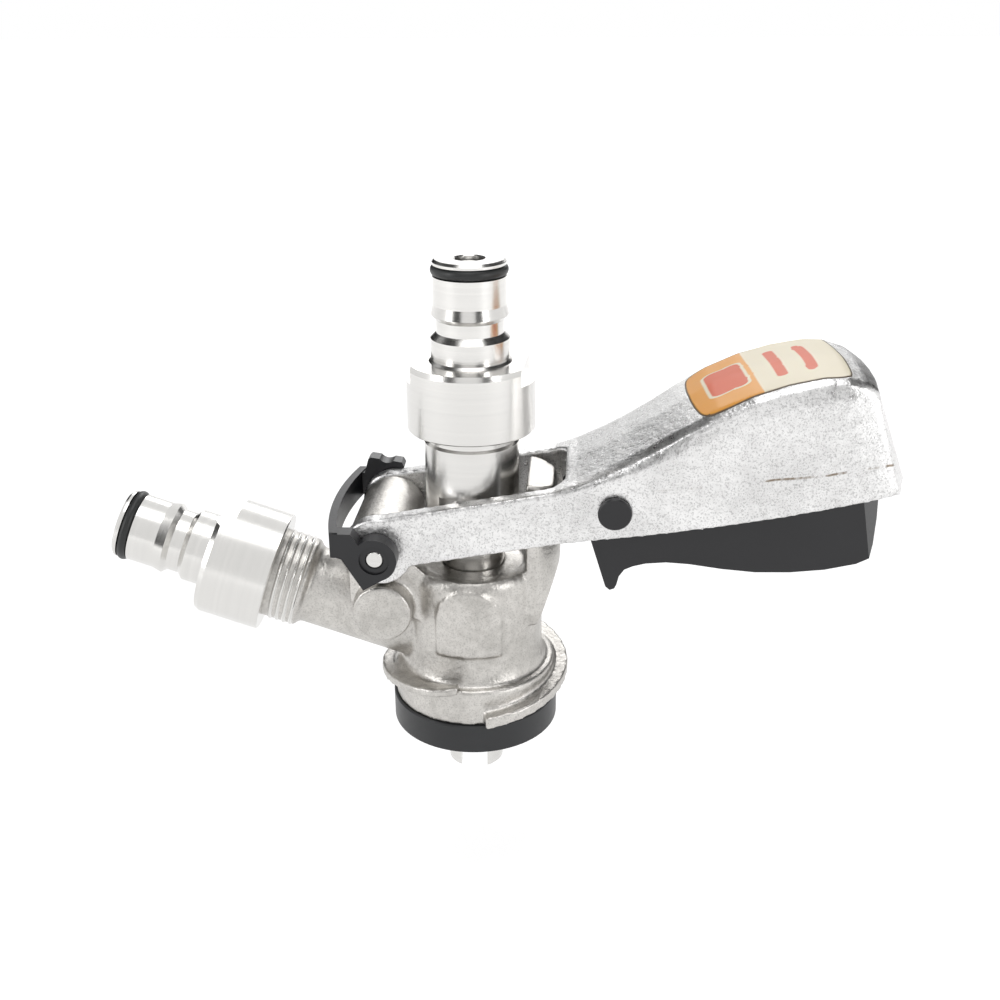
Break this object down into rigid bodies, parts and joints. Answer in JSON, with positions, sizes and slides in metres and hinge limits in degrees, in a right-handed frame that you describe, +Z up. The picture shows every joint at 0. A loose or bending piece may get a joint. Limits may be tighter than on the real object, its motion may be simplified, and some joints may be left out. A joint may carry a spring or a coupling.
{
  "type": "keg coupler",
  "caption": "Lever-handle keg coupler: a bayonet body with a sliding beer probe, a squeeze-trigger handle, and threaded post adapters on the gas branch and probe.",
  "frame": {"origin": "centre of the bottom seal's lower face, on the probe's axis", "axes": "+Z up the probe's axis, +X towards the grip, the gas branch on the -X side, XZ the plane of the handle's swing"},
  "size_m": [0.1939, 0.0476, 0.1343],
  "materials": {
    "cast_steel": "shot-blasted casting",
    "cast_handle": "satin casting",
    "machined_steel": "bright machined",
    "spring_steel": "drawn wire",
    "black_rubber": "smooth",
    "black_plastic": "satin",
    "grey_plastic": "smooth",
    "white_plastic": "smooth",
    "label": "printed film"
  },
  "bodies": {
    "coupler_body": {"body": "cast_steel", "bottom_seal": "black_rubber", "guide_seals": "black_rubber", "gas_check_valve": "black_rubber", "gas_washer": "grey_plastic", "gas_adapter": "machined_steel", "gas_post_ring": "black_rubber", "gas_poppet_spring": "spring_steel", "hinge_pin": "machined_steel"},
    "gas_poppet_body": {"gas_poppet": "machined_steel", "gas_poppet_seal": "black_rubber"},
    "probe_body": {"probe": "machined_steel", "ball_retainer": "white_plastic", "beer_washer": "grey_plastic", "beer_adapter": "machined_steel", "beer_post_ring": "black_rubber", "beer_poppet_spring": "spring_steel"},
    "beer_poppet_body": {"beer_poppet": "machined_steel", "beer_poppet_seal": "black_rubber"},
    "ball_body": {"check_ball": "machined_steel"},
    "handle_body": {"handle": "cast_handle", "grip_label": "label", "trigger_pin": "black_plastic", "trigger_pin_cap": "black_plastic", "trigger_spring": "spring_steel"},
    "trigger_body": {"trigger": "black_plastic"},
    "clip_body": {"pin_clip": "black_plastic"}
  },
  "joints": [
    {"name": "handle_swing", "type": "hinge", "parent": "coupler_body", "child": "handle_body", "pos_m": [-0.0215, 0, 0.0526], "axis": [0, -1, 0], "range_deg": [0, 20]},
    {"name": "probe_slide", "type": "slide", "parent": "coupler_body", "child": "probe_body", "axis": [0, 0, 1], "range_m": [0, 0.007]},
    {"name": "trigger_squeeze", "type": "hinge", "parent": "handle_body", "child": "trigger_body", "pos_m": [0.03447, 0, 0.06501], "axis": [0, -1, 0], "range_deg": [0, 8], "stiffness_Nm_per_rad": 1.2, "springref_deg": -8.59, "deforming": ["trigger_spring"]},
    {"name": "clip_swing", "type": "hinge", "parent": "coupler_body", "child": "clip_body", "pos_m": [-0.0215, 0, 0.0526], "axis": [0, 1, 0], "range_deg": [0, 45]},
    {"name": "beer_poppet_slide", "type": "slide", "parent": "probe_body", "child": "beer_poppet_body", "axis": [0, 0, -1], "range_m": [0, 0.003], "stiffness_N_per_m": 1500, "springref_m": -0.005, "deforming": ["beer_poppet_spring"]},
    {"name": "gas_poppet_slide", "type": "slide", "parent": "coupler_body", "child": "gas_poppet_body", "axis": [0.9472, 0, -0.3206], "range_m": [0, 0.003], "stiffness_N_per_m": 1500, "springref_m": -0.005, "deforming": ["gas_poppet_spring"]},
    {"name": "check_ball_lift", "type": "slide", "parent": "probe_body", "child": "ball_body", "axis": [0, 0, 1], "range_m": [0, 0.003]}
  ],
  "couplings": [
    {"joint": "probe_slide", "follows": "handle_swing", "m_per_rad": 0.019817}
  ]
}
